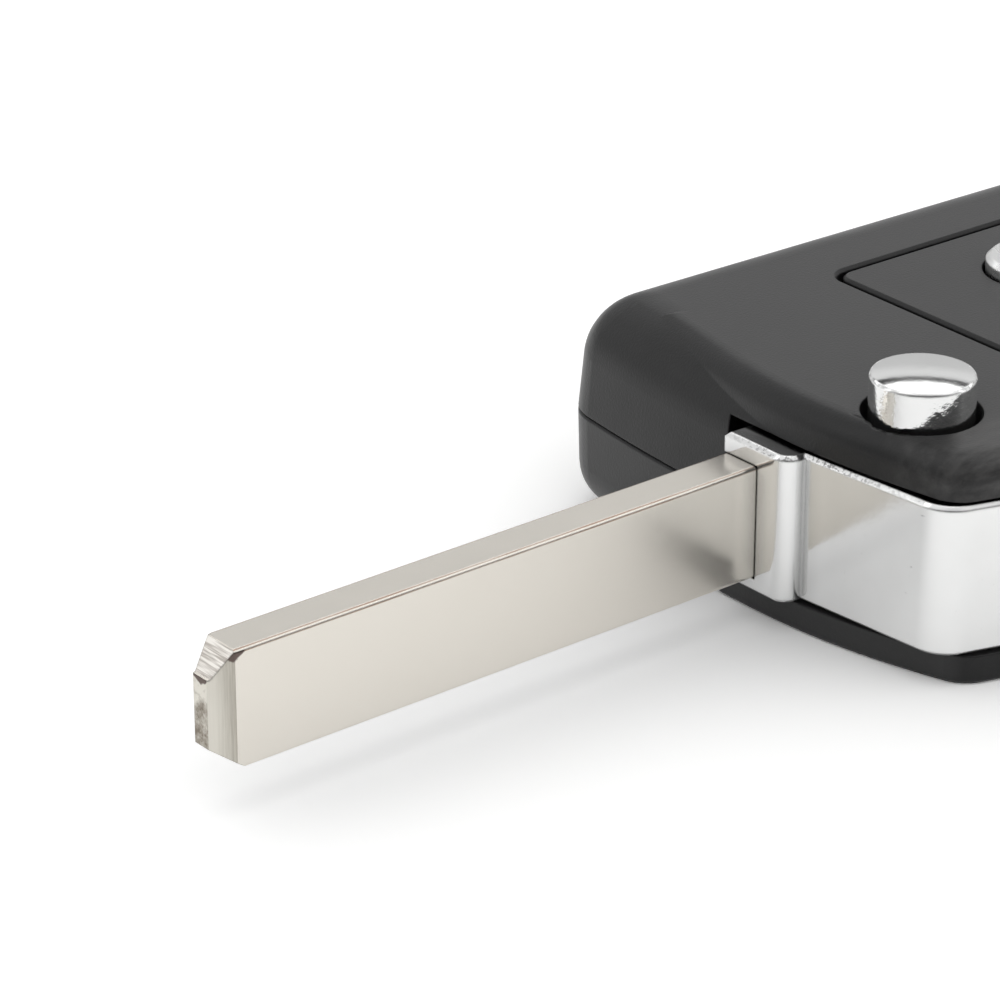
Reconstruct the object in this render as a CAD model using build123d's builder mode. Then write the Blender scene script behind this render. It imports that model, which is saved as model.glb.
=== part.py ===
from build123d import *
import math
import os

# Folding car key, stored with its blade swung out. Two moulded shells carry a cast hub, and
# the hub carries the key blade and the release button about one upright axis.
# The origin is the foot of that axis on the flat back of the fob. +X runs from the blade's tip
# to the rear of the fob, +Y to its left side and +Z up through the buttons. Millimetres.

# Fob, seen from above
fob_front = 5.95
fob_rear = 69.0
fob_left = 28.73
fob_right = 10.1
left_side_angle = 1.75
front_bow_radius = 120.0
nose_y = 9.0
upper_nose_radius = 78.0
lower_nose_radius = 48.0
cheek_angle = 17.5
upper_cheek_distance = 8.25
lower_cheek_distance = 8.1
front_left_radius = 3.8
front_right_radius = 2.8
cheek_blend_radius = 20.0
rear_corner_radius = 6.0

# Fob, seen from the side
fob_height = 14.9
parting_height = 6.9
upper_draft = 5.3
lower_draft = 1.5
top_edge_radius = 4.5
brow_edge_radius = 1.8
brow_front_flare = 11.0
brow_side_flare = 5.0
brow_blend_radius = 45.0
brow_length = 40.0
brow_width = 14.0
brow_skin = 0.03
back_edge_radius = 3.3
sill_edge_bevel = 0.25
sill_corner_x = 6.0
sill_corner_y = -4.0
sill_front_end = 13.0
cut_margin = 1.0

# Shell walls
side_wall = 1.6
back_wall = 1.6
roof_wall = 2.4
lip_wall_top = 2.7
lip_wall_bottom = 1.95
shell_gap = 0.08
seam_bevel = 0.12

# Blade
blade_thickness = 2.9
blade_width = 7.56
blade_middle = 6.9
blade_offset = 6.95
blade_reach = 47.65
blade_edge_radius = 0.25
tip_near_length = 1.5
tip_near_depth = 0.7
tip_far_length = 2.2
tip_far_depth = 0.9
tip_cut_length = 1.5
tip_cut_height = 1.65
tip_cut_ledge = 0.2
tip_heel_length = 2.1
tip_heel_height = 1.5
tang_end = 1.4

# Hub
collar_front = 6.95
collar_side = 4.28
collar_corner_radius = 1.2
cheek_front = 5.5
cheek_corner_y = -6.85
cheek_corner_radius = 2.5
hub_cheek_gap = 0.2
hub_tail = 6.2
hub_heel_width = 3.4
hub_edge_bevel = 0.25
hub_face_gap = 0.2
sweep_gap = 0.35
channel_end_gap = 0.85
channel_gap = 0.3
spigot_radius = 3.95
spigot_height = 0.6
bearing_gap = 0.08
bearing_end_gap = 0.1
hub_floor = 1.25
fit_gap = 0.05

# Release button and its spring
button_radius = 3.28
button_rise = 2.4
button_dome = 0.3
button_rim_bevel = 0.12
button_depth = 8.8
button_bore_gap = 0.08
button_hole_radius = 3.52
release_travel = 2.0
lug_reach = 3.8
lug_width = 1.8
lug_height = 1.5
lug_gap = 0.2
lug_slot_gap = 0.15
notch_depth = 0.6
spring_radius = 2.45
spring_wire = 0.7
spring_turns = 3.0
spring_sides = 6
spring_seat_depth = 1.5
spring_seat_gap = 0.1
anchor_thickness = 1.15
anchor_stem_radius = 1.75
anchor_key_side = 2.2
anchor_key_depth = 0.6

# Blade pin
pin_radius = 0.8
pin_x = -2.4
pin_length = 4.8
pin_gap = 0.02

# Button panel and its buttons
panel_corner_x = 10.89
panel_corner_y = 19.19
panel_length = 43.0
panel_width = 16.6
panel_angle = 1.0
panel_corner_radius = 1.1
panel_inner_radius = 0.5
panel_thickness = 1.2
panel_groove = 0.4
panel_edge_bevel = 0.2
panel_ledge = 1.5
panel_back_gap = 0.03
key_radius = 3.5
key_hole_gap = 0.2
key_rise = 1.0
key_edge_bevel = 0.3
key_flange = 0.65
key_flange_thickness = 0.5
key_travel = 0.6
key_first = 11.0
key_across = 7.45
key_pitch = 16.0
key_count = 2
key_gap = 0.1
pad_thickness = 0.8
pad_margin = 1.2
pad_nub_radius = 2.4
pad_boss_gap = 0.3

# Key ring eye
eye_x = 60.0
eye_y = 4.5
eye_width = 5.0
eye_length = 9.5
eye_wall = 1.8
eye_edge_bevel = 0.5

# Fixings inside the shells
peg_radius = 1.1
peg_height = 2.0
peg_gap = 0.06
peg_wall = 1.0
peg_hole_play = 0.3
screw_radius = 0.9
screw_head_radius = 1.7
screw_head_height = 0.9
screw_length = 8.0
screw_thread_gap = 0.02
screw_hole_end = 1.0
screw_x = 60.5
screw_y = 15.0

# Blade and hub heights that follow from the two lips
slot_floor = lip_wall_bottom
slot_roof = fob_height - lip_wall_top
hub_bottom = slot_floor + hub_face_gap
hub_top = slot_roof - hub_face_gap
hub_middle = (hub_bottom + hub_top) / 2
blade_bottom = blade_middle - blade_width / 2
blade_top = blade_middle + blade_width / 2
blade_far = blade_offset + blade_thickness
hub_left = blade_far + fit_gap
chamber_radius = math.hypot(collar_front, hub_left) + sweep_gap
channel_wall_y = -blade_offset + sweep_gap
channel_end = blade_reach + channel_end_gap
roof_height = fob_height - roof_wall


def nose_outline(inset, nose_radius):
    # Bowed front: flat to the left of its foremost point and tighter from there to the cheek
    with BuildSketch() as nose:
        with Locations((front_bow_radius - fob_front, nose_y)):
            Circle(front_bow_radius - inset)
        with Locations((0, nose_y)):
            Rectangle(
                4 * front_bow_radius,
                4 * front_bow_radius,
                align=(Align.CENTER, Align.MIN),
                mode=Mode.INTERSECT,
            )
        with Locations((nose_radius - fob_front, nose_y)):
            Circle(nose_radius - inset)
    return nose.sketch


def fob_outline(inset=0.0, nose_radius=lower_nose_radius, cheek_distance=lower_cheek_distance):
    # Plan outline of the fob, drawn in by the inset: bowed front, straight sides that draw
    # together to the rear and a slanted cheek where the hub turns the corner
    taper = math.radians(left_side_angle)
    lean = math.radians(cheek_angle)
    foot = cheek_distance - inset
    with BuildSketch() as outline:
        add(nose_outline(inset, nose_radius))
        with Locations((-inset * math.sin(taper), fob_left - inset * math.cos(taper))):
            Rectangle(
                4 * fob_rear,
                4 * fob_rear,
                rotation=-left_side_angle,
                align=(Align.CENTER, Align.MAX),
                mode=Mode.INTERSECT,
            )
        with Locations((fob_rear - inset, 0)):
            Rectangle(4 * fob_rear, 4 * fob_rear, align=(Align.MAX, Align.CENTER), mode=Mode.INTERSECT)
        with Locations((0, inset - fob_right)):
            Rectangle(4 * fob_rear, 4 * fob_rear, align=(Align.CENTER, Align.MIN), mode=Mode.INTERSECT)
        with Locations((-foot * math.sin(lean), -foot * math.cos(lean))):
            Rectangle(
                4 * fob_rear,
                4 * fob_rear,
                rotation=-cheek_angle,
                align=(Align.CENTER, Align.MIN),
                mode=Mode.INTERSECT,
            )
        front_left = outline.vertices().sort_by_distance((-fob_front, fob_left))[0]
        fillet(front_left, front_left_radius - inset)
        front_right = outline.vertices().sort_by_distance((-fob_front, -fob_right))[0]
        fillet(front_right, front_right_radius - inset)
        rear_left = outline.vertices().sort_by_distance((fob_rear, fob_left))[0]
        fillet(rear_left, rear_corner_radius - inset)
        rear_right = outline.vertices().sort_by_distance((fob_rear, -fob_right))[0]
        fillet(rear_right, rear_corner_radius - inset)
        cheek_end = outline.vertices().sort_by_distance((fob_front, -fob_right))[0]
        fillet(cheek_end, cheek_blend_radius)
    return outline.sketch


def brow_outline():
    # Plan outline of the brow: it keeps just inside the fob's own outline along the nose and
    # the cheek, and turns inwards beyond them
    lean = math.radians(cheek_angle)
    foot = upper_cheek_distance - brow_skin
    turn_x = (fob_right * math.cos(lean) - upper_cheek_distance) / math.sin(lean)
    with BuildSketch() as outline:
        with Locations((upper_nose_radius - fob_front, nose_y)):
            Circle(upper_nose_radius - brow_skin)
        with Locations((brow_skin - fob_front, nose_y)):
            Rectangle(
                4 * fob_rear,
                4 * fob_rear,
                rotation=-brow_front_flare,
                align=(Align.MIN, Align.CENTER),
                mode=Mode.INTERSECT,
            )
        with Locations((turn_x, brow_skin - fob_right)):
            Rectangle(
                4 * fob_rear,
                4 * fob_rear,
                rotation=brow_side_flare,
                align=(Align.CENTER, Align.MIN),
                mode=Mode.INTERSECT,
            )
        with Locations((-foot * math.sin(lean), -foot * math.cos(lean))):
            Rectangle(
                4 * fob_rear,
                4 * fob_rear,
                rotation=-cheek_angle,
                align=(Align.CENTER, Align.MIN),
                mode=Mode.INTERSECT,
            )
        with Locations((brow_length, nose_y + brow_width)):
            Rectangle(4 * fob_rear, 4 * fob_rear, align=(Align.MAX, Align.MAX), mode=Mode.INTERSECT)
        front_right = outline.vertices().sort_by_distance((-fob_front, -fob_right))[0]
        fillet(front_right, front_right_radius - brow_skin)
        front_turn = outline.vertices().sort_by_distance((-fob_front, nose_y))[0]
        fillet(front_turn, brow_blend_radius)
    return outline.sketch


def ring_eye(margin=0.0):
    # Long hole for the key ring, or with a margin the moulded wall around it
    with BuildSketch() as eye:
        with Locations((eye_x, eye_y)):
            SlotOverall(eye_length + 2 * margin, eye_width + 2 * margin, rotation=90)
    return eye.sketch


def board_space():
    # Plan of the hollow for the circuit board: the inside of the side walls, less the
    # round wall of the hub's chamber, the wall beside the blade channel and the ring eye
    with BuildSketch() as space:
        add(fob_outline(side_wall))
        Circle(chamber_radius + side_wall, mode=Mode.SUBTRACT)
        with Locations((0, channel_wall_y + side_wall)):
            Rectangle(
                2 * (channel_end + side_wall),
                fob_right + channel_wall_y + 2 * side_wall,
                align=(Align.CENTER, Align.MAX),
                mode=Mode.SUBTRACT,
            )
        add(ring_eye(eye_wall), mode=Mode.SUBTRACT)
    return space.sketch


def panel_outline(growth=0.0):
    # The button panel's outline, grown all round by the given amount
    middle = Location((panel_corner_x, panel_corner_y), -panel_angle)
    corner = max(panel_corner_radius + growth, panel_inner_radius)
    with BuildSketch() as outline:
        with Locations(middle):
            with Locations((panel_length / 2, -panel_width / 2)):
                RectangleRounded(panel_length + 2 * growth, panel_width + 2 * growth, corner)
    return outline.sketch


def key_place(number):
    # Centre of a button on the panel, counted from the front
    lean = math.radians(panel_angle)
    along = key_first + number * key_pitch
    across = key_across
    x = panel_corner_x + along * math.cos(lean) - across * math.sin(lean)
    y = panel_corner_y - along * math.sin(lean) - across * math.cos(lean)
    return (x, y)


key_places = [key_place(number) for number in range(key_count)]
peg_places = [(0.5, 21.5), (54.0, -3.5)]


# Brow: the part of the upper shell over the hub, where its edge is rounded less
upper_base = Plane.XY.offset(parting_height + shell_gap)
with BuildPart() as brow:
    with BuildSketch(upper_base):
        add(brow_outline())
    extrude(amount=fob_height - parting_height - shell_gap)
    draft(brow.faces().filter_by(Axis.Z, reverse=True), upper_base, upper_draft)
    fillet(brow.faces().sort_by(Axis.Z)[-1].edges(), brow_edge_radius)

# Upper shell: the button side of the housing
panel_floor = fob_height - panel_thickness - panel_back_gap
with BuildPart() as upper_shell:
    with BuildSketch(upper_base):
        add(fob_outline(0.0, upper_nose_radius, upper_cheek_distance))
    extrude(amount=fob_height - parting_height - shell_gap)
    draft(upper_shell.faces().filter_by(Axis.Z, reverse=True), upper_base, upper_draft)
    chamfer(upper_shell.faces().sort_by(Axis.Z)[0].edges(), seam_bevel)
    fillet(upper_shell.faces().sort_by(Axis.Z)[-1].edges(), top_edge_radius)
    add(brow.part)
    with BuildSketch(Plane.XY.offset(parting_height)):
        add(board_space())
    extrude(amount=roof_height - parting_height, mode=Mode.SUBTRACT)
    with BuildSketch(Plane.XY.offset(parting_height)):
        Circle(chamber_radius)
    extrude(amount=slot_roof - parting_height, mode=Mode.SUBTRACT)
    with BuildSketch(Plane.XY.offset(parting_height)):
        with Locations((0, channel_wall_y)):
            Rectangle(channel_end, 2 * fob_right, align=(Align.MIN, Align.MAX))
    extrude(amount=blade_top + channel_gap - parting_height, mode=Mode.SUBTRACT)
    with BuildSketch(Plane.XY.offset(slot_roof)):
        Circle(spigot_radius + bearing_gap)
    extrude(amount=spigot_height + bearing_end_gap, mode=Mode.SUBTRACT)
    with BuildSketch(Plane.XY.offset(slot_roof)):
        Rectangle(2 * (lug_reach + lug_slot_gap), lug_width + 2 * lug_slot_gap)
    extrude(amount=spigot_height + bearing_end_gap + notch_depth, mode=Mode.SUBTRACT)
    with BuildSketch(Plane.XY.offset(slot_roof)):
        Circle(button_hole_radius)
    extrude(amount=lip_wall_top, mode=Mode.SUBTRACT)
    with BuildSketch(Plane.XY.offset(panel_floor)):
        add(panel_outline(panel_groove))
    extrude(amount=fob_height - panel_floor, mode=Mode.SUBTRACT)
    top_face = upper_shell.faces().sort_by(Axis.Z)[-1]
    chamfer(top_face.inner_wires().edges().sort_by(Axis.X)[-8:], panel_edge_bevel)
    with BuildSketch(Plane.XY.offset(roof_height)):
        add(panel_outline(-panel_ledge))
        Circle(chamber_radius + side_wall, mode=Mode.SUBTRACT)
    extrude(amount=panel_floor - roof_height, mode=Mode.SUBTRACT)
    with BuildSketch(Plane.XY.offset(parting_height)):
        add(ring_eye())
    extrude(amount=fob_height, mode=Mode.SUBTRACT)
    top_face = upper_shell.faces().sort_by(Axis.Z)[-1]
    eye_rim = top_face.inner_wires().edges().filter_by_position(Axis.X, eye_x - eye_width, fob_rear)
    chamfer(eye_rim, eye_edge_bevel)
    with BuildSketch(Plane.XY.offset(parting_height - peg_height)):
        with Locations(peg_places):
            Circle(peg_radius)
    extrude(amount=roof_height + peg_height - parting_height)
    with BuildSketch(Plane.XY.offset(parting_height + shell_gap)):
        with Locations((screw_x, screw_y)):
            Circle(screw_radius + peg_wall)
    extrude(amount=roof_height - parting_height - shell_gap)
    with BuildSketch(Plane.XY.offset(parting_height + shell_gap)):
        with Locations((screw_x, screw_y)):
            Circle(screw_radius)
    extrude(amount=roof_height - parting_height - screw_hole_end, mode=Mode.SUBTRACT)
upper_shell.part.label = "upper_shell"

# Sill: the part of the lower shell under the hub and the folded blade, where its edge is crisp
with BuildPart() as sill:
    lower_base = Plane.XY.offset(parting_height)
    with BuildSketch(lower_base):
        add(fob_outline())
    extrude(amount=-parting_height)
    draft(sill.faces().filter_by(Axis.Z, reverse=True), lower_base, -lower_draft)
    chamfer(sill.faces().sort_by(Axis.Z)[0].edges(), sill_edge_bevel)
    chamfer(sill.faces().sort_by(Axis.Z)[-1].edges(), seam_bevel)
    with BuildSketch(Plane.XY):
        with BuildLine():
            Polyline(
                (-fob_front - cut_margin, sill_front_end),
                (sill_corner_x, sill_front_end - sill_corner_x - fob_front - cut_margin),
                (sill_corner_x, sill_corner_y),
                (channel_end, sill_corner_y),
                (channel_end + fob_right, -fob_right - cut_margin),
                (-fob_front - cut_margin, -fob_right - cut_margin),
                close=True,
            )
        make_face()
    extrude(amount=parting_height, mode=Mode.INTERSECT)

# Lower shell: the back of the housing
screw_seat = back_wall + screw_head_height
with BuildPart() as lower_shell:
    with BuildSketch(lower_base):
        add(fob_outline())
    extrude(amount=-parting_height)
    draft(lower_shell.faces().filter_by(Axis.Z, reverse=True), lower_base, -lower_draft)
    fillet(lower_shell.faces().sort_by(Axis.Z)[0].edges(), back_edge_radius)
    chamfer(lower_shell.faces().sort_by(Axis.Z)[-1].edges(), seam_bevel)
    add(sill.part)
    with BuildSketch(Plane.XY.offset(back_wall)):
        add(board_space())
    extrude(amount=parting_height - back_wall, mode=Mode.SUBTRACT)
    with BuildSketch(Plane.XY.offset(slot_floor)):
        Circle(chamber_radius)
    extrude(amount=parting_height - slot_floor, mode=Mode.SUBTRACT)
    with BuildSketch(Plane.XY.offset(blade_bottom - channel_gap)):
        with Locations((0, channel_wall_y)):
            Rectangle(channel_end, 2 * fob_right, align=(Align.MIN, Align.MAX))
    extrude(amount=parting_height - blade_bottom + channel_gap, mode=Mode.SUBTRACT)
    with BuildSketch(Plane.XY.offset(slot_floor)):
        Circle(spigot_radius + bearing_gap)
    extrude(amount=-(spigot_height + bearing_end_gap), mode=Mode.SUBTRACT)
    with BuildSketch(Plane.XY.offset(slot_floor - spigot_height - bearing_end_gap)):
        Rectangle(anchor_key_side + 2 * fit_gap, anchor_key_side + 2 * fit_gap)
    extrude(amount=-anchor_key_depth, mode=Mode.SUBTRACT)
    with BuildSketch():
        add(ring_eye())
    extrude(amount=parting_height, mode=Mode.SUBTRACT)
    back_face = lower_shell.faces().sort_by(Axis.Z)[0]
    chamfer(back_face.inner_wires().edges(), eye_edge_bevel)
    with BuildSketch(Plane.XY.offset(back_wall)):
        with Locations(peg_places):
            Circle(peg_radius + peg_gap + peg_wall)
        with Locations((screw_x, screw_y)):
            Circle(screw_head_radius + peg_wall)
    extrude(amount=parting_height - back_wall)
    with BuildSketch(Plane.XY.offset(parting_height)):
        with Locations(peg_places):
            Circle(peg_radius + peg_gap)
    extrude(amount=-(peg_height + peg_hole_play), mode=Mode.SUBTRACT)
    with BuildSketch():
        with Locations((screw_x, screw_y)):
            Circle(screw_head_radius)
    extrude(amount=screw_seat, mode=Mode.SUBTRACT)
    with BuildSketch():
        with Locations((screw_x, screw_y)):
            Circle(screw_radius + peg_gap)
    extrude(amount=parting_height, mode=Mode.SUBTRACT)
lower_shell.part.label = "lower_shell"

# Blade: flat uncut blank on its edge, ground to a blunt point on both faces
tip_x = -blade_reach
with BuildPart() as blade:
    with BuildSketch(Plane.XY.offset(blade_bottom)):
        with BuildLine():
            Polyline(
                (tang_end, blade_offset),
                (tip_x + tip_near_length, blade_offset),
                (tip_x, blade_offset + tip_near_depth),
                (tip_x, blade_far - tip_far_depth),
                (tip_x + tip_far_length, blade_far),
                (tang_end, blade_far),
                close=True,
            )
        make_face()
    extrude(amount=blade_width)
    long_edges = blade.edges().filter_by(Axis.X)
    fillet(long_edges, blade_edge_radius)
    with BuildSketch(Plane.XZ):
        with BuildLine():
            Polyline(
                (tip_x - cut_margin, blade_top - tip_cut_height),
                (tip_x + tip_cut_ledge, blade_top - tip_cut_height),
                (tip_x + tip_cut_length, blade_top),
                (tip_x + tip_cut_length, blade_top + cut_margin),
                (tip_x - cut_margin, blade_top + cut_margin),
                close=True,
            )
        make_face()
        with BuildLine():
            Polyline(
                (tip_x, blade_bottom + tip_heel_height),
                (tip_x + tip_heel_length, blade_bottom),
                (tip_x + tip_heel_length, blade_bottom - cut_margin),
                (tip_x - cut_margin, blade_bottom - cut_margin),
                (tip_x - cut_margin, blade_bottom + tip_heel_height),
                close=True,
            )
        make_face()
    extrude(amount=-2 * blade_far, mode=Mode.SUBTRACT)
    with BuildSketch(Plane.XZ):
        with Locations((pin_x, hub_middle)):
            Circle(pin_radius + pin_gap)
    extrude(amount=-2 * blade_far, mode=Mode.SUBTRACT)
blade.part.label = "blade"

# Hub: one casting with the collar round the blade's root, the cheek that closes the front
# corner of the fob and a tail that closes the front when the blade is folded
lean = math.radians(cheek_angle)
cheek_line = lower_cheek_distance - hub_cheek_gap
cheek_corner_x = (cheek_corner_y + cheek_line / math.cos(lean)) / -math.tan(lean)
tail_right_x = (hub_left - cheek_line / math.cos(lean)) / math.tan(lean)
with BuildPart() as blade_hub:
    with BuildSketch(Plane.XY.offset(hub_bottom)):
        with BuildLine():
            Polyline(
                (-collar_front, hub_left),
                (-collar_front, collar_side),
                (-cheek_front, collar_side),
                (cheek_corner_x, cheek_corner_y),
                (tail_right_x, -hub_left),
                (hub_tail, -hub_left),
                (-cheek_corner_x, -cheek_corner_y),
                (hub_heel_width, hub_left),
                close=True,
            )
        make_face()
    extrude(amount=hub_top - hub_bottom)
    collar_corner = (-collar_front, collar_side, hub_middle)
    collar_edge = blade_hub.edges().filter_by(Axis.Z).sort_by_distance(collar_corner)[0]
    fillet(collar_edge, collar_corner_radius)
    cheek_corner = (cheek_corner_x, cheek_corner_y, hub_middle)
    cheek_edge = blade_hub.edges().filter_by(Axis.Z).sort_by_distance(cheek_corner)[0]
    fillet(cheek_edge, cheek_corner_radius)
    chamfer(blade_hub.faces().sort_by(Axis.Z)[-1].edges(), hub_edge_bevel)
    chamfer(blade_hub.faces().sort_by(Axis.Z)[0].edges(), hub_edge_bevel)
    with BuildSketch(Plane.XY.offset(hub_bottom - spigot_height)):
        Circle(spigot_radius)
    extrude(amount=hub_top - hub_bottom + 2 * spigot_height)
    with BuildSketch(Plane.XY.offset(hub_bottom + hub_floor)):
        Circle(button_radius + button_bore_gap)
    extrude(amount=fob_height, mode=Mode.SUBTRACT)
    with BuildSketch(Plane.XY.offset(hub_bottom - spigot_height)):
        Circle(anchor_stem_radius + bearing_gap)
    extrude(amount=spigot_height + hub_floor, mode=Mode.SUBTRACT)
    lug_slot_bottom = hub_top + spigot_height - lug_height - release_travel - 2 * lug_gap
    with BuildSketch(Plane.XY.offset(lug_slot_bottom)):
        Rectangle(2 * (spigot_radius + lug_slot_gap), lug_width + 2 * lug_slot_gap)
    extrude(amount=fob_height, mode=Mode.SUBTRACT)
    with BuildSketch(Plane.XY.offset(blade_bottom - fit_gap)):
        with Locations((tang_end + fit_gap, blade_offset - fit_gap)):
            Rectangle(2 * collar_front, 2 * blade_thickness, align=(Align.MAX, Align.MIN))
    extrude(amount=blade_width + 2 * fit_gap, mode=Mode.SUBTRACT)
    with BuildSketch(Plane.XZ.offset(-blade_far + pin_length)):
        with Locations((pin_x, hub_middle)):
            Circle(pin_radius + pin_gap)
    extrude(amount=-blade_far, mode=Mode.SUBTRACT)
blade_hub.part.label = "blade_hub"

# Blade pin: pressed through the blade's root into the hub
with BuildPart() as blade_pin:
    with BuildSketch(Plane.XZ.offset(-blade_far)):
        with Locations((pin_x, hub_middle)):
            Circle(pin_radius)
    extrude(amount=pin_length - fit_gap)
blade_pin.part.label = "blade_pin"

# Release button: plated plunger with a shallow dome and two locking lugs
button_top = fob_height + button_rise
button_bottom = button_top - button_depth
dome_radius = (button_radius**2 + button_dome**2) / (2 * button_dome)
lug_top = hub_top + spigot_height - lug_gap + hub_face_gap
with BuildPart() as release_button:
    with BuildSketch(Plane.XZ) as profile:
        with BuildLine():
            Line((0, button_bottom), (button_radius, button_bottom))
            Line((button_radius, button_bottom), (button_radius, button_top))
            RadiusArc((button_radius, button_top), (0, button_top + button_dome), -dome_radius)
            Line((0, button_top + button_dome), (0, button_bottom))
        make_face()
        rim = profile.vertices().sort_by_distance((button_radius, button_top))[0]
        chamfer(rim, button_rim_bevel)
    revolve(axis=Axis.Z)
    with BuildSketch(Plane.XY.offset(button_bottom)):
        Circle(spring_radius + spring_wire / 2 + spring_seat_gap)
    extrude(amount=spring_seat_depth, mode=Mode.SUBTRACT)
    with BuildSketch(Plane.XY.offset(lug_top - lug_height)):
        Rectangle(2 * lug_reach, lug_width)
    extrude(amount=lug_height)
release_button.part.label = "release_button"

# Spring anchor: its key stands still in the lower shell while the hub turns round it
anchor_bottom = hub_bottom + hub_floor + fit_gap
with BuildPart() as spring_anchor:
    with BuildSketch(Plane.XY.offset(anchor_bottom)):
        Circle(button_radius)
    extrude(amount=anchor_thickness)
    with BuildSketch(Plane.XY.offset(anchor_bottom)):
        Circle(anchor_stem_radius)
    extrude(amount=slot_floor - spigot_height - anchor_bottom)
    with BuildSketch(Plane.XY.offset(slot_floor - spigot_height)):
        Rectangle(anchor_key_side, anchor_key_side)
    extrude(amount=-(bearing_end_gap + anchor_key_depth - fit_gap))
spring_anchor.part.label = "spring_anchor"

# Flip spring: one coil that both turns the hub and lifts the button
spring_bottom = anchor_bottom + anchor_thickness + fit_gap + spring_wire / 2
spring_top = button_bottom + spring_seat_depth - fit_gap - spring_wire / 2
spring_height = spring_top - spring_bottom
with BuildPart() as flip_spring:
    with BuildLine():
        coil = Helix(
            pitch=spring_height / spring_turns,
            height=spring_height,
            radius=spring_radius,
            center=(0, 0, spring_bottom),
        )
    with BuildSketch(Plane(origin=coil @ 0, z_dir=coil % 0)):
        RegularPolygon(spring_wire / 2, spring_sides)
    sweep(path=coil, is_frenet=True)
flip_spring.part.label = "flip_spring"

# Button panel: thin cover let into the upper shell, with a groove all round it
with BuildPart() as button_panel:
    with BuildSketch(Plane.XY.offset(panel_floor + panel_back_gap)):
        add(panel_outline())
        with Locations(key_places):
            Circle(key_radius + key_hole_gap, mode=Mode.SUBTRACT)
    extrude(amount=panel_thickness)
    panel_face = button_panel.faces().sort_by(Axis.Z)[-1]
    chamfer(panel_face.outer_wire().edges(), panel_edge_bevel)
button_panel.part.label = "button_panel"

# Buttons: round caps held under the panel by a flange
flange_top = fob_height - panel_thickness - key_gap
cap_top = fob_height + key_rise


def cap_profile():
    # Half section of a cap with its flange, drawn beside the upright axis of the cap
    with BuildSketch() as profile:
        with BuildLine():
            Polyline(
                (0, flange_top - key_flange_thickness),
                (key_radius + key_flange, flange_top - key_flange_thickness),
                (key_radius + key_flange, flange_top),
                (key_radius, flange_top),
                (key_radius, cap_top - key_edge_bevel),
                (key_radius - key_edge_bevel, cap_top),
                (0, cap_top),
                close=True,
            )
        make_face()
    return profile.sketch


lock_x, lock_y = key_places[0]
with BuildPart() as lock_button:
    with BuildSketch(Plane(origin=(lock_x, lock_y, 0), x_dir=(1, 0, 0), z_dir=(0, -1, 0))):
        add(cap_profile())
    revolve(axis=Axis((lock_x, lock_y, 0), (0, 0, 1)))
lock_button.part.label = "lock_button"

unlock_x, unlock_y = key_places[1]
with BuildPart() as unlock_button:
    with BuildSketch(Plane(origin=(unlock_x, unlock_y, 0), x_dir=(1, 0, 0), z_dir=(0, -1, 0))):
        add(cap_profile())
    revolve(axis=Axis((unlock_x, unlock_y, 0), (0, 0, 1)))
unlock_button.part.label = "unlock_button"

# Keypad: rubber sheet below the buttons, with a nub under each
flange_bottom = flange_top - key_flange_thickness
pad_top = roof_height - fit_gap
with BuildPart() as keypad:
    with BuildSketch(Plane.XY.offset(pad_top - pad_thickness)):
        add(panel_outline(-panel_ledge + pad_margin))
        Circle(chamber_radius + side_wall + pad_boss_gap, mode=Mode.SUBTRACT)
    extrude(amount=pad_thickness)
    with BuildSketch(Plane.XY.offset(pad_top)):
        with Locations(key_places):
            Circle(pad_nub_radius)
    extrude(amount=flange_bottom - fit_gap - pad_top)
keypad.part.label = "keypad"

# Case screw: pulls the two shells together near the rear
with BuildPart() as case_screw:
    with BuildSketch(Plane.XY.offset(screw_seat - screw_head_height)):
        with Locations((screw_x, screw_y)):
            Circle(screw_head_radius - peg_gap)
    extrude(amount=screw_head_height)
    with BuildSketch(Plane.XY.offset(screw_seat)):
        with Locations((screw_x, screw_y)):
            Circle(screw_radius - screw_thread_gap)
    extrude(amount=screw_length - screw_head_height)
case_screw.part.label = "case_screw"

pieces = [
    upper_shell,
    lower_shell,
    blade,
    blade_hub,
    blade_pin,
    release_button,
    spring_anchor,
    flip_spring,
    button_panel,
    lock_button,
    unlock_button,
    keypad,
    case_screw,
]
os.makedirs("parts", exist_ok=True)
for piece in pieces:
    export_step(piece.part, "parts/" + piece.part.label + ".step")
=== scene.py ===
import math

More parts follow.
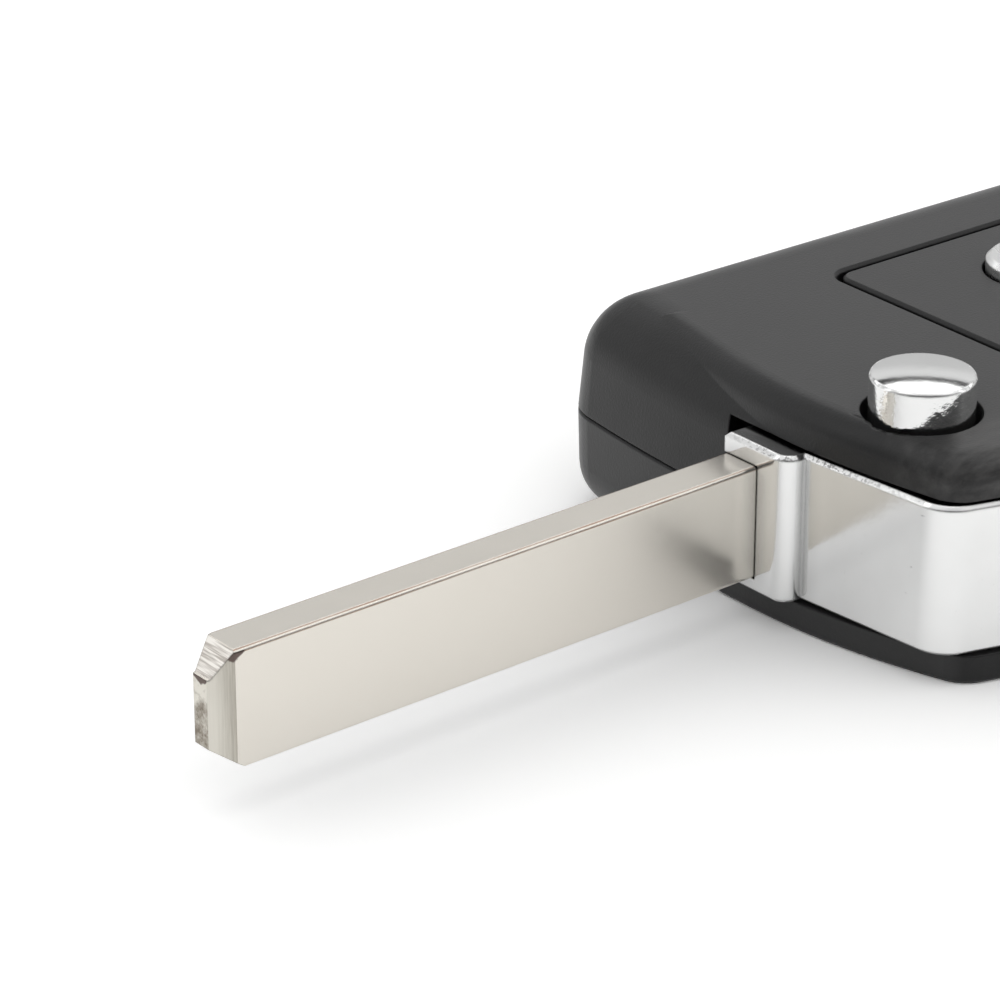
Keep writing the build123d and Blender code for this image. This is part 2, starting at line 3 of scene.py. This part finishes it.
import bmesh
import bpy
from mathutils.bvhtree import BVHTree
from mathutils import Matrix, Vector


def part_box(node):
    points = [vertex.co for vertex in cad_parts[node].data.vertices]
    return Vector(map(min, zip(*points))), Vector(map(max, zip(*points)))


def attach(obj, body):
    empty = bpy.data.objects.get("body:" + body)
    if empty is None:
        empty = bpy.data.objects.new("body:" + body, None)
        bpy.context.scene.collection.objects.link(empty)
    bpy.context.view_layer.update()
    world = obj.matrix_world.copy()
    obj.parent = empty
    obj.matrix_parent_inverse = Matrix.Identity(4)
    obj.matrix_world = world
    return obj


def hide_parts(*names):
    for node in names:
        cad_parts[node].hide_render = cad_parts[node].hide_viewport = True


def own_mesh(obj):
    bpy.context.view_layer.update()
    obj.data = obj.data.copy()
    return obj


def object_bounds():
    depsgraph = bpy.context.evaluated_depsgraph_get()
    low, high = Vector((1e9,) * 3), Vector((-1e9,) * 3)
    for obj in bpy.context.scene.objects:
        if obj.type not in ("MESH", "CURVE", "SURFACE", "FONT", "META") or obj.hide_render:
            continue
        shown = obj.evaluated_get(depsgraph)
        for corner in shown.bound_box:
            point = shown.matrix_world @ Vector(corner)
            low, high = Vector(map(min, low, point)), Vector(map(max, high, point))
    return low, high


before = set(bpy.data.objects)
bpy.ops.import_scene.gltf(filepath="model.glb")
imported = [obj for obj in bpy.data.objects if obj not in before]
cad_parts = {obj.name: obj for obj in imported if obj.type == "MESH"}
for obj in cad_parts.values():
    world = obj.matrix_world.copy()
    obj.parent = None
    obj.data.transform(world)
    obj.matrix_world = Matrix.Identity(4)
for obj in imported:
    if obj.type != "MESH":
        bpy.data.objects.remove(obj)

# Folding car key in metres, in the frame of the CAD model: +X from the blade's tip to the rear of
# the fob, +Y to its left side, +Z up through the buttons.
cad_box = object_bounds()
mm = 0.001


def low(node):
    # Lower corner of a node's box
    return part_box(node)[0]


def high(node):
    # Upper corner of a node's box
    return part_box(node)[1]


# Places that the materials use, read from the frame
floor_height = cad_box[0][2]
tip_x = low("blade")[0]
blade_top = high("blade")[2]
blade_near = low("blade")[1]
shell_top = high("button_panel")[2]
rubbed_highlight_place = (0.5 * mm, -6.5 * mm, shell_top - 1.5 * mm)
rubbed_highlight_reach = 7.5 * mm
chipped_place = (-5 * mm, 3 * mm, shell_top - 4 * mm)
chipped_reach = 8 * mm

# Colours as linear red, green and blue
black_plastic = (0.006, 0.006, 0.0064)
rubbed_highlight_grey = (0.1, 0.098, 0.096)
nickel_deep = (0.70, 0.665, 0.605)
nickel_pale = (0.74, 0.705, 0.645)
ground_pale = (0.66, 0.635, 0.575)
ground_shaded = (0.34, 0.315, 0.27)
milled_pale = (0.9, 0.87, 0.82)
milled_deep = (0.5, 0.46, 0.42)
stain_brown = (0.19, 0.16, 0.125)
worn_brown = (0.36, 0.22, 0.15)
corner_brown_and_shadow = (0.13, 0.1, 0.09)
nickel_crevice_shade = (0.36, 0.34, 0.31)
plating_deep = (0.74, 0.742, 0.737)
plating_pale = (0.8, 0.803, 0.8)
pit_grey = (0.25, 0.25, 0.25)
chip_grey = (0.12, 0.115, 0.115)
corner_shade_grey = (0.42, 0.42, 0.42)
crevice_shade_grey = (0.2, 0.2, 0.2)
steel_deep = (0.5, 0.5, 0.5)
steel_pale = (0.6, 0.6, 0.6)
rubber_deep = (0.02, 0.02, 0.02)
rubber_pale = (0.035, 0.035, 0.036)
thrown_grey = (0.2, 0.2, 0.2)
floor_white = (0.93, 0.93, 0.925)

# Values between which most of a soft noise lies, and the rays that look for near surfaces
noise_range = (0.3, 0.7)
near_rays = 6


# Materials

def new_material(name):
    # An empty node material with its shader already wired to the output
    made = bpy.data.materials.new(name)
    made.use_nodes = True
    tree = made.node_tree
    tree.nodes.clear()
    output = tree.nodes.new("ShaderNodeOutputMaterial")
    shader = tree.nodes.new("ShaderNodeBsdfPrincipled")
    tree.links.new(shader.outputs["BSDF"], output.inputs["Surface"])
    return made, tree, shader


def place_of(tree, stretch=(1, 1, 1)):
    # Object coordinates in metres, stretched along each axis before a texture reads them
    source = tree.nodes.new("ShaderNodeTexCoord")
    scaled = tree.nodes.new("ShaderNodeMapping")
    scaled.inputs["Scale"].default_value = stretch
    tree.links.new(source.outputs["Object"], scaled.inputs["Vector"])
    return scaled.outputs["Vector"]


def noise(tree, vector, size, detail=2.0, roughness=0.5):
    # Soft noise whose grains are about the given size in metres
    made = tree.nodes.new("ShaderNodeTexNoise")
    made.inputs["Scale"].default_value = 1 / size
    made.inputs["Detail"].default_value = detail
    made.inputs["Roughness"].default_value = roughness
    tree.links.new(vector, made.inputs["Vector"])
    return made.outputs["Fac"]


def combine(tree, operation, first, second):
    # One arithmetic step between two values, each an output or a number
    made = tree.nodes.new("ShaderNodeMath")
    made.operation = operation
    for place, value in enumerate((first, second)):
        if isinstance(value, bpy.types.NodeSocket):
            tree.links.new(value, made.inputs[place])
        else:
            made.inputs[place].default_value = value
    return made.outputs["Value"]


def times(tree, first, second):
    return combine(tree, "MULTIPLY", first, second)


def plus(tree, first, second):
    return combine(tree, "ADD", first, second)


def spread(tree, value, start, end):
    # Maps one range of values to another and holds it at the ends
    made = tree.nodes.new("ShaderNodeMapRange")
    for name, number in zip(("From Min", "From Max", "To Min", "To Max"), (*start, *end)):
        made.inputs[name].default_value = number
    tree.links.new(value, made.inputs["Value"])
    return made.outputs["Result"]


def blend_values(tree, factor, first, second):
    # Value between two outputs, by the factor
    step = combine(tree, "SUBTRACT", second, first)
    return plus(tree, first, times(tree, factor, step))


def blend_colours(tree, factor, first, second):
    # Colour between two, by the factor; either may be a colour or an output
    made = tree.nodes.new("ShaderNodeMix")
    made.data_type = "RGBA"
    tree.links.new(factor, made.inputs["Factor"])
    for socket, value in (("A", first), ("B", second)):
        target = next(s for s in made.inputs if s.name == socket and s.type == "RGBA")
        if isinstance(value, bpy.types.NodeSocket):
            tree.links.new(value, target)
        else:
            target.default_value = (*value, 1)
    return next(s for s in made.outputs if s.type == "RGBA")


def lighter(colour, amount):
    return tuple(value + amount for value in colour)


def thrown_less(tree, colour):
    # Darker for light on its way from the metal to matt surfaces, so that none pools on the floor
    path = tree.nodes.new("ShaderNodeLightPath")
    return blend_colours(tree, path.outputs["Is Diffuse Ray"], colour, thrown_grey)


def part_of(tree, vector, axis):
    # One coordinate of a vector
    split = tree.nodes.new("ShaderNodeSeparateXYZ")
    tree.links.new(vector, split.inputs["Vector"])
    return split.outputs[axis]


def axis_place(tree, axis):
    # The piece's own coordinate along one axis, in metres
    source = tree.nodes.new("ShaderNodeTexCoord")
    return part_of(tree, source.outputs["Object"], axis)


def facing(tree, axis, start, end):
    # Goes from 0 to 1 while the normal's part along one of the piece's axes goes from the start
    # value to the end value
    source = tree.nodes.new("ShaderNodeTexCoord")
    along = part_of(tree, source.outputs["Normal"], axis)
    return spread(tree, along, (start, end), (0, 1))


def nearness(tree, centre, reach):
    # 1 at a point of the piece, falling to 0 at the given distance
    source = tree.nodes.new("ShaderNodeTexCoord")
    gap = tree.nodes.new("ShaderNodeVectorMath")
    gap.operation = "DISTANCE"
    gap.inputs[1].default_value = centre
    tree.links.new(source.outputs["Object"], gap.inputs[0])
    return spread(tree, gap.outputs["Value"], (0, reach), (1, 0))


def crevice_shade(tree, colour, reach, dark, closed_at=0.25, open_at=0.7):
    # Painted shade: darker where the surface lies close to another, as shade gathers in corners
    # and crevices
    made = tree.nodes.new("ShaderNodeAmbientOcclusion")
    made.samples = near_rays
    made.inputs["Distance"].default_value = reach
    closed = spread(tree, made.outputs["AO"], (closed_at, open_at), (1, 0))
    return blend_colours(tree, closed, colour, dark)


def raise_surface(tree, shader, height, depth, strength, edge=0.0):
    # Bump of the given real depth from a height between 0 and 1, over edges worn to a radius
    made = tree.nodes.new("ShaderNodeBump")
    if edge:
        worn = tree.nodes.new("ShaderNodeBevel")
        worn.samples = near_rays
        worn.inputs["Radius"].default_value = edge
        tree.links.new(worn.outputs["Normal"], made.inputs["Normal"])
    made.inputs["Strength"].default_value = strength
    made.inputs["Distance"].default_value = depth
    tree.links.new(height, made.inputs["Height"])
    tree.links.new(made.outputs["Normal"], shader.inputs["Normal"])


def moulded_plastic(name, roughness, front_painted_light, seen_paler_in_mirrors):
    # Black satin plastic: fine grain, slight clouding, painted light that makes what faces up or
    # to the front lighter, a few rubbed streaks near the hub that also paint a highlight there,
    # and a painted
    # reflection: what mirrors it sees it paler.
    top_painted_light = 0.03
    specular_level = 0.32
    made, tree, shader = new_material(name)
    at = place_of(tree)
    clouds = noise(tree, at, size=6 * mm, detail=3)
    grain = noise(tree, at, size=0.16 * mm, detail=2, roughness=0.6)

    # Painted light: what faces up is painted lighter in uneven patches, and what faces the front
    # is painted lighter too, as light falls on them
    uneven = spread(tree, clouds, noise_range, (0.65, 1))
    top_light_mask = times(tree, facing(tree, "Z", 0.93, 1.0), uneven)
    to_front = facing(tree, "X", -0.7, -0.95)
    tone = blend_colours(tree, top_light_mask, black_plastic, lighter(black_plastic, top_painted_light))
    tone = blend_colours(tree, to_front, tone, lighter(black_plastic, front_painted_light))

    # Paler rubbed streaks near the hub: partly wear, and partly a painted highlight on the
    # rounding there
    streaks = noise(tree, place_of(tree, (0.3, 1, 1)), size=1.1 * mm, detail=4, roughness=0.6)
    streaks = spread(tree, streaks, (0.42, 0.72), (0.25, 1))
    rubbed_highlight = times(tree, streaks, nearness(tree, rubbed_highlight_place, rubbed_highlight_reach))
    tone = blend_colours(tree, rubbed_highlight, tone, rubbed_highlight_grey)

    # Painted reflection: what mirrors the plastic sees it painted paler than it is
    mirrored_by = tree.nodes.new("ShaderNodeLightPath").outputs["Is Glossy Ray"]
    tone = blend_colours(tree, mirrored_by, tone, lighter(black_plastic, seen_paler_in_mirrors))
    tree.links.new(tone, shader.inputs["Base Color"])

    sheen = spread(tree, clouds, noise_range, (roughness - 0.03, roughness + 0.04))
    sheen = plus(tree, sheen, times(tree, rubbed_highlight, 0.15))
    tree.links.new(sheen, shader.inputs["Roughness"])
    shader.inputs["Specular IOR Level"].default_value = specular_level
    raise_surface(tree, shader, grain, depth=0.02 * mm, strength=0.8, edge=0.2 * mm)
    return made


def corner_mark(tree, sideways_axis, corner, width, top, drop, spots):
    # 1 on a ragged triangle that hangs down from a corner of the blade
    from_corner = combine(tree, "SUBTRACT", axis_place(tree, sideways_axis), corner)
    sideways = combine(tree, "ABSOLUTE", from_corner, 0)
    downward = combine(tree, "SUBTRACT", top, axis_place(tree, "Z"))
    across = combine(tree, "DIVIDE", sideways, width)
    along = combine(tree, "DIVIDE", downward, drop)
    ragged = plus(tree, plus(tree, across, along), times(tree, spots, 0.5))
    below = spread(tree, downward, (-0.02 * mm, 0.02 * mm), (0, 1))
    inside = spread(tree, ragged, (1.15, 1.35), (1, 0))
    return times(tree, inside, below)


def nickel():
    # Polished nickel of the blade: warm, with faint lines along its length. The ground faces of
    # the tip are duller, brushed upright and stained, and the bevel beside the end carries
    # painted shade.
    made, tree, shader = new_material("blade_nickel")
    shader.inputs["Metallic"].default_value = 1
    at = place_of(tree)
    along = noise(tree, place_of(tree, (0.02, 1, 1)), size=0.12 * mm, detail=3)
    upright = noise(tree, place_of(tree, (1, 1, 0.03)), size=0.1 * mm, detail=3, roughness=0.6)
    crosswise = noise(tree, place_of(tree, (1, 0.05, 1)), size=0.14 * mm, detail=2, roughness=0.6)
    clouds = noise(tree, at, size=5 * mm, detail=2)
    spots = noise(tree, at, size=0.25 * mm, detail=3, roughness=0.6)
    patches = noise(tree, at, size=1.6 * mm, detail=4, roughness=0.6)

    ground = facing(tree, "X", -0.15, -0.3)
    end = facing(tree, "X", -0.85, -0.95)
    milled = times(tree, ground, facing(tree, "Z", 0.3, 0.45))

    # The polished flats, with thin brown lines where the plating is worn along both sides of the
    # rounded long edges
    polished = blend_colours(tree, clouds, nickel_deep, nickel_pale)
    under = times(tree, facing(tree, "Z", 0.03, 0.15), facing(tree, "Z", 0.5, 0.3))
    over = times(tree, facing(tree, "Z", 0.75, 0.88), facing(tree, "Z", 0.998, 0.98))
    broken = spread(tree, clouds, (0.35, 0.6), (0.35, 0.75))
    worn = times(tree, plus(tree, under, over), broken)
    polished = blend_colours(tree, worn, polished, worn_brown)

    # Painted shade: the bevel beside the end is painted darker towards the flat of the blade,
    # over its upright brush lines
    upright_shade = spread(tree, upright, (0.35, 0.65), (0.5, 1))
    bevel_from = tip_x + 0.4 * mm
    bevel_to = tip_x + 1.2 * mm
    length = axis_place(tree, "X")
    from_end = spread(tree, length, (bevel_from, bevel_to), (0.1, 0.85))
    brushed_and_shaded = blend_colours(tree, times(tree, upright_shade, from_end), ground_pale, ground_shaded)

    # The end is stained in patches, more so low down
    stain_from = blade_top - 6 * mm
    stain_to = blade_top - 2.5 * mm
    height = axis_place(tree, "Z")
    low_on_end = spread(tree, height, (stain_from, stain_to), (0.1, -0.1))
    mottle = plus(tree, patches, times(tree, spots, 0.4))
    mottle = plus(tree, mottle, low_on_end)
    stain = spread(tree, mottle, (0.58, 0.88), (0, 1))
    stained = blend_colours(tree, stain, ground_pale, stain_brown)

    # The milled cut above it shows the tool's lines
    cut_lines = spread(tree, crosswise, (0.4, 0.6), (0, 1))
    cut = blend_colours(tree, cut_lines, milled_pale, milled_deep)

    tone = blend_colours(tree, ground, polished, brushed_and_shaded)
    tone = blend_colours(tree, end, tone, stained)
    tone = blend_colours(tree, milled, tone, cut)

    # Two small dark corners where the milled cut ends: the one on the end is painted shadow under
    # the cut's ledge, the one on the flat a brown mark
    on_end = corner_mark(
        tree,
        sideways_axis="Y",
        corner=blade_near + 1.3 * mm,
        width=1.0 * mm,
        top=blade_top - 1.62 * mm,
        drop=0.5 * mm,
        spots=spots,
    )
    tone = blend_colours(tree, times(tree, on_end, end), tone, corner_brown_and_shadow)
    on_flat = corner_mark(
        tree,
        sideways_axis="X",
        corner=tip_x + 1.4 * mm,
        width=0.9 * mm,
        top=blade_top - 0.1 * mm,
        drop=0.6 * mm,
        spots=spots,
    )
    near_side = facing(tree, "Y", -0.8, -0.9)
    tone = blend_colours(tree, times(tree, on_flat, near_side), tone, corner_brown_and_shadow)
    # Painted shade in the blade's crevices
    tone = crevice_shade(tree, tone, 0.2 * mm, nickel_crevice_shade)
    tree.links.new(thrown_less(tree, tone), shader.inputs["Base Color"])

    smooth = spread(tree, clouds, noise_range, (0.2, 0.26))
    rough = plus(tree, smooth, times(tree, ground, 0.16))
    tree.links.new(rough, shader.inputs["Roughness"])
    lines = blend_values(tree, ground, along, upright)
    lines = blend_values(tree, milled, lines, crosswise)
    line_height = spread(tree, ground, (0, 1), (0.12, 1))
    raised = times(tree, lines, line_height)
    raise_surface(tree, shader, raised, depth=0.012 * mm, strength=0.5, edge=0.2 * mm)
    return made


def bright_plating(name, roughness, pit_size, pit_depth, specks=0, waves=0, corner_shade_reach=0):
    # Bright plating over a die casting, with the casting's small pits showing through. Pits are
    # shallower on what faces up.
    made, tree, shader = new_material(name)
    shader.inputs["Metallic"].default_value = 1
    at = place_of(tree)
    clouds = noise(tree, at, size=3 * mm, detail=2)
    tone = blend_colours(tree, clouds, plating_deep, plating_pale)
    spots = noise(tree, at, size=0.45 * mm, detail=4, roughness=0.6)
    specked = spread(tree, spots, (0.7, 0.76), (0, specks))
    tone = blend_colours(tree, specked, tone, pit_grey)

    # Chips in the plating along the edges beside the collar
    edge = times(tree, facing(tree, "Z", 0.12, 0.3), facing(tree, "Z", 0.98, 0.93))
    flakes = noise(tree, at, size=0.3 * mm, detail=4, roughness=0.65)
    chips = spread(tree, flakes, (0.5, 0.56), (0, 0.85))
    chips = times(tree, times(tree, chips, edge), nearness(tree, chipped_place, chipped_reach))
    tone = blend_colours(tree, chips, tone, chip_grey)

    # Painted shade over a wider reach in inner corners, such as between the hub's rib and cheek
    if corner_shade_reach:
        tone = crevice_shade(tree, tone, corner_shade_reach, corner_shade_grey, closed_at=0.45, open_at=0.98)
    # Painted shade in the plating's crevices
    tone = crevice_shade(tree, tone, 0.25 * mm, crevice_shade_grey)
    tree.links.new(thrown_less(tree, tone), shader.inputs["Base Color"])

    sheen = spread(tree, clouds, noise_range, (roughness, roughness + 0.05))
    tree.links.new(sheen, shader.inputs["Roughness"])
    pits = noise(tree, at, size=pit_size, detail=3, roughness=0.6)
    upward = facing(tree, "Z", 0.2, 0.5)
    pits = times(tree, pits, spread(tree, upward, (0, 1), (1, 0.12)))
    rolling = times(tree, noise(tree, at, size=4 * mm, detail=1), waves)
    raised = plus(tree, pits, rolling)
    raise_surface(tree, shader, raised, depth=pit_depth, strength=0.6, edge=0.22 * mm)
    return made


def plain_steel():
    # Drawn steel of the pin, the spring, the anchor and the screw
    made, tree, shader = new_material("plain_steel")
    shader.inputs["Metallic"].default_value = 1
    scale = noise(tree, place_of(tree), size=0.3 * mm, detail=3)
    tone = blend_colours(tree, scale, steel_deep, steel_pale)
    tree.links.new(tone, shader.inputs["Base Color"])
    sheen = spread(tree, scale, noise_range, (0.28, 0.4))
    tree.links.new(sheen, shader.inputs["Roughness"])
    raise_surface(tree, shader, scale, depth=0.004 * mm, strength=0.4)
    return made


def pad_rubber():
    # Matt black rubber of the keypad
    made, tree, shader = new_material("pad_rubber")
    dust = noise(tree, place_of(tree), size=0.4 * mm, detail=4)
    tone = blend_colours(tree, dust, rubber_deep, rubber_pale)
    tree.links.new(tone, shader.inputs["Base Color"])
    sheen = spread(tree, dust, noise_range, (0.65, 0.8))
    tree.links.new(sheen, shader.inputs["Roughness"])
    raise_surface(tree, shader, dust, depth=0.01 * mm, strength=0.4)
    return made


shell_plastic = moulded_plastic("shell_plastic", 0.36, front_painted_light=0.004, seen_paler_in_mirrors=0.05)
lower_plastic = moulded_plastic("lower_plastic", 0.36, front_painted_light=0.016, seen_paler_in_mirrors=0.3)
panel_plastic = moulded_plastic("panel_plastic", 0.38, front_painted_light=0.004, seen_paler_in_mirrors=0)
hub_plating = bright_plating(
    "hub_plating",
    0.09,
    pit_size=0.5 * mm,
    pit_depth=0.006 * mm,
    specks=0.7,
    waves=9,
    corner_shade_reach=1.6 * mm,
)
release_plating = bright_plating(
    "button_plating",
    0.06,
    pit_size=0.5 * mm,
    pit_depth=0.05 * mm,
    specks=0.1,
)
soft_plating = bright_plating("soft_plating", 0.25, pit_size=0.3 * mm, pit_depth=0.002 * mm)
steel = plain_steel()

finishes = {
    "upper_shell": shell_plastic,
    "lower_shell": lower_plastic,
    "button_panel": panel_plastic,
    "keypad": pad_rubber(),
    "lock_button": soft_plating,
    "unlock_button": soft_plating,
    "blade": nickel(),
    "blade_hub": hub_plating,
    "release_button": release_plating,
}
for node_name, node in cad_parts.items():
    node.data.materials.clear()
    node.data.materials.append(finishes.get(node_name, steel))


# Upper shell as the eye sees it: the release button's hole opens out to a wider rim at the top
hole_radius = 3.52 * mm
hole_slack = 0.03 * mm
rim_radius = 3.76 * mm
rim_depth = 0.6 * mm
shell_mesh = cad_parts["upper_shell"].data.copy()
skin = BVHTree.FromPolygons(
    [vertex.co.copy() for vertex in shell_mesh.vertices],
    [list(face.vertices) for face in shell_mesh.polygons],
)
for vertex in shell_mesh.vertices:
    from_axis = math.hypot(vertex.co.x, vertex.co.y)
    on_hole = abs(from_axis - hole_radius) < hole_slack
    if on_hole and vertex.co.z > shell_top - rim_depth:
        vertex.co.x *= rim_radius / from_axis
        vertex.co.y *= rim_radius / from_axis
        above = (vertex.co.x, vertex.co.y, shell_top + mm)
        vertex.co.z = skin.ray_cast(above, (0, 0, -1))[0].z
upper_cover = bpy.data.objects.new("upper_cover", shell_mesh)
bpy.context.collection.objects.link(upper_cover)
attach(upper_cover, "case")
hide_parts("upper_shell")


def pressed_piece(name, mesh, node_name, body):
    # A piece of its own made from the given mesh and carried by the body, in place of the hidden
    # node
    soft = bpy.data.objects.new(name, mesh)
    bpy.context.collection.objects.link(soft)
    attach(soft, body)
    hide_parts(node_name)
    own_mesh(soft)


def half_of(node_name, name, cut_x, keep_rear):
    # The part of a node's mesh on one side of an upright cut, closed along the cut
    weld = 0.001 * mm
    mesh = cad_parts[node_name].data.copy()
    mesh.name = name
    shape = bmesh.new()
    shape.from_mesh(mesh)
    bmesh.ops.remove_doubles(shape, verts=shape.verts, dist=weld)
    bmesh.ops.bisect_plane(
        shape,
        geom=shape.verts[:] + shape.edges[:] + shape.faces[:],
        plane_co=(cut_x, 0, 0),
        plane_no=(1, 0, 0),
        clear_inner=keep_rear,
        clear_outer=not keep_rear,
    )
    open_edges = [edge for edge in shape.edges if edge.is_boundary]
    bmesh.ops.holes_fill(shape, edges=open_edges, sides=0)
    bmesh.ops.recalc_face_normals(shape, faces=shape.faces)
    shape.to_mesh(mesh)
    shape.free()
    return mesh


# The spring, and the keypad cut in two halves between the lock and unlock buttons, as pieces of
# their own
pad_middle = (high("lock_button")[0] + low("unlock_button")[0]) / 2
pressed_piece(
    "pressed_spring",
    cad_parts["flip_spring"].data.copy(),
    "flip_spring",
    "flip_head",
)
for button, keep_rear in (("lock", False), ("unlock", True)):
    half_name = "pad_under_" + button
    pressed_piece(
        half_name,
        half_of("keypad", half_name, pad_middle, keep_rear),
        "keypad",
        "case",
    )


# Floor: pale and level, fading to white where nothing shades it
floor_reach = 1.6
floor_roughness = 0.5
floor_specular = 0.2
floor_extra = 0.26
floor_corners = ((-1, -1), (1, -1), (1, 1), (-1, 1))
floor_mesh = bpy.data.meshes.new("floor")
floor_mesh.from_pydata(
    [(x * floor_reach, y * floor_reach, floor_height) for x, y in floor_corners],
    [],
    [(0, 1, 2, 3)],
)
floor = bpy.data.objects.new("floor", floor_mesh)
bpy.context.collection.objects.link(floor)
floor_material, tree, shader = new_material("floor_white")
shader.inputs["Base Color"].default_value = (*floor_white, 1)
shader.inputs["Roughness"].default_value = floor_roughness
shader.inputs["Specular IOR Level"].default_value = floor_specular
# Seen straight on or in a mirror the floor is whiter, so that it is white away from the shadows
extra = tree.nodes.new("ShaderNodeBsdfDiffuse")
extra.inputs["Color"].default_value = (floor_extra, floor_extra, floor_extra, 1)
lifted = tree.nodes.new("ShaderNodeAddShader")
tree.links.new(shader.outputs["BSDF"], lifted.inputs[0])
tree.links.new(extra.outputs["BSDF"], lifted.inputs[1])
path = tree.nodes.new("ShaderNodeLightPath")
either = combine(tree, "MAXIMUM", path.outputs["Is Camera Ray"], path.outputs["Is Glossy Ray"])
choice = tree.nodes.new("ShaderNodeMixShader")
tree.links.new(either, choice.inputs["Fac"])
tree.links.new(shader.outputs["BSDF"], choice.inputs[1])
tree.links.new(lifted.outputs["Shader"], choice.inputs[2])
floor_end = next(node for node in tree.nodes if node.type == "OUTPUT_MATERIAL")
tree.links.new(choice.outputs["Shader"], floor_end.inputs["Surface"])
floor_mesh.materials.append(floor_material)


# World: even white light on everything matt. What shines mirrors a room round it: a pale back
# wall, a dark gap, a long soft light, a pale ceiling with a narrow light overhead, and a dark
# front wall with a grey foot. Each row is a turn, from 0 at the back wall's foot over the ceiling
# to 1 at the front wall's foot, and the brightness there.
heading = math.radians(39.07)
room = [
    (0.0, 0.6),
    (0.1, 0.66),
    (0.139, 0.85),
    (0.163, 0.85),
    (0.172, 0.04),
    (0.184, 0.04),
    (0.194, 1.8),
    (0.245, 1.8),
    (0.265, 0.4),
    (0.3, 1.15),
    (0.33, 0.85),
    (0.39, 0.85),
    (0.45, 1.0),
    (0.465, 2.2),
    (0.505, 2.2),
    (0.52, 1.0),
    (0.62, 1.0),
    (0.7, 0.12),
    (0.92, 0.12),
    (1.0, 0.45),
]

world = bpy.data.worlds.new("studio")
world.use_nodes = True
world.cycles.sampling_method = "NONE"
bpy.context.scene.world = world
tree = world.node_tree
tree.nodes.clear()


def part_along(tree, vector, direction):
    # How far the vector points along the direction
    made = tree.nodes.new("ShaderNodeVectorMath")
    made.operation = "DOT_PRODUCT"
    made.inputs[1].default_value = direction
    tree.links.new(vector, made.inputs[0])
    return made.outputs["Value"]


look = tree.nodes.new("ShaderNodeTexCoord").outputs["Generated"]
behind = part_along(tree, look, (math.sin(heading), math.cos(heading), 0))
upward = part_along(tree, look, (0, 0, 1))
turn = combine(tree, "DIVIDE", combine(tree, "ARCTAN2", upward, behind), math.pi)
ramp = tree.nodes.new("ShaderNodeValToRGB")
tree.links.new(turn, ramp.inputs["Fac"])
while len(ramp.color_ramp.elements) < len(room):
    ramp.color_ramp.elements.new(0.5)
brightest = max(brightness for place, brightness in room)
for element, (place, brightness) in zip(ramp.color_ramp.elements, room):
    element.position = place
    element.color = (brightness / brightest,) * 3 + (1,)

output = tree.nodes.new("ShaderNodeOutputWorld")
even = tree.nodes.new("ShaderNodeBackground")
mirrored = tree.nodes.new("ShaderNodeBackground")
mix = tree.nodes.new("ShaderNodeMixShader")
path = tree.nodes.new("ShaderNodeLightPath")
even.inputs["Color"].default_value = (1, 1, 1, 1)
tree.links.new(ramp.outputs["Color"], mirrored.inputs["Color"])
mirrored.inputs["Strength"].default_value = brightest
tree.links.new(path.outputs["Is Glossy Ray"], mix.inputs["Fac"])
tree.links.new(even.outputs["Background"], mix.inputs[1])
tree.links.new(mirrored.outputs["Background"], mix.inputs[2])
tree.links.new(mix.outputs["Shader"], output.inputs["Surface"])


# Camera
sensor_width = 36
lens = 157.18
nearest = 10 * mm
drop = math.radians(25.0)
camera_data = bpy.data.cameras.new("camera")
camera_data.sensor_width = sensor_width
camera_data.lens = lens
camera_data.clip_start = nearest
camera = bpy.data.objects.new("camera", camera_data)
camera.location = (-171.53 * mm, -170.96 * mm, 121.24 * mm)
camera.rotation_euler = (math.pi / 2 - drop, 0, -heading)
bpy.context.collection.objects.link(camera)
bpy.context.scene.camera = camera

bpy.context.scene.view_settings.view_transform = "Standard"
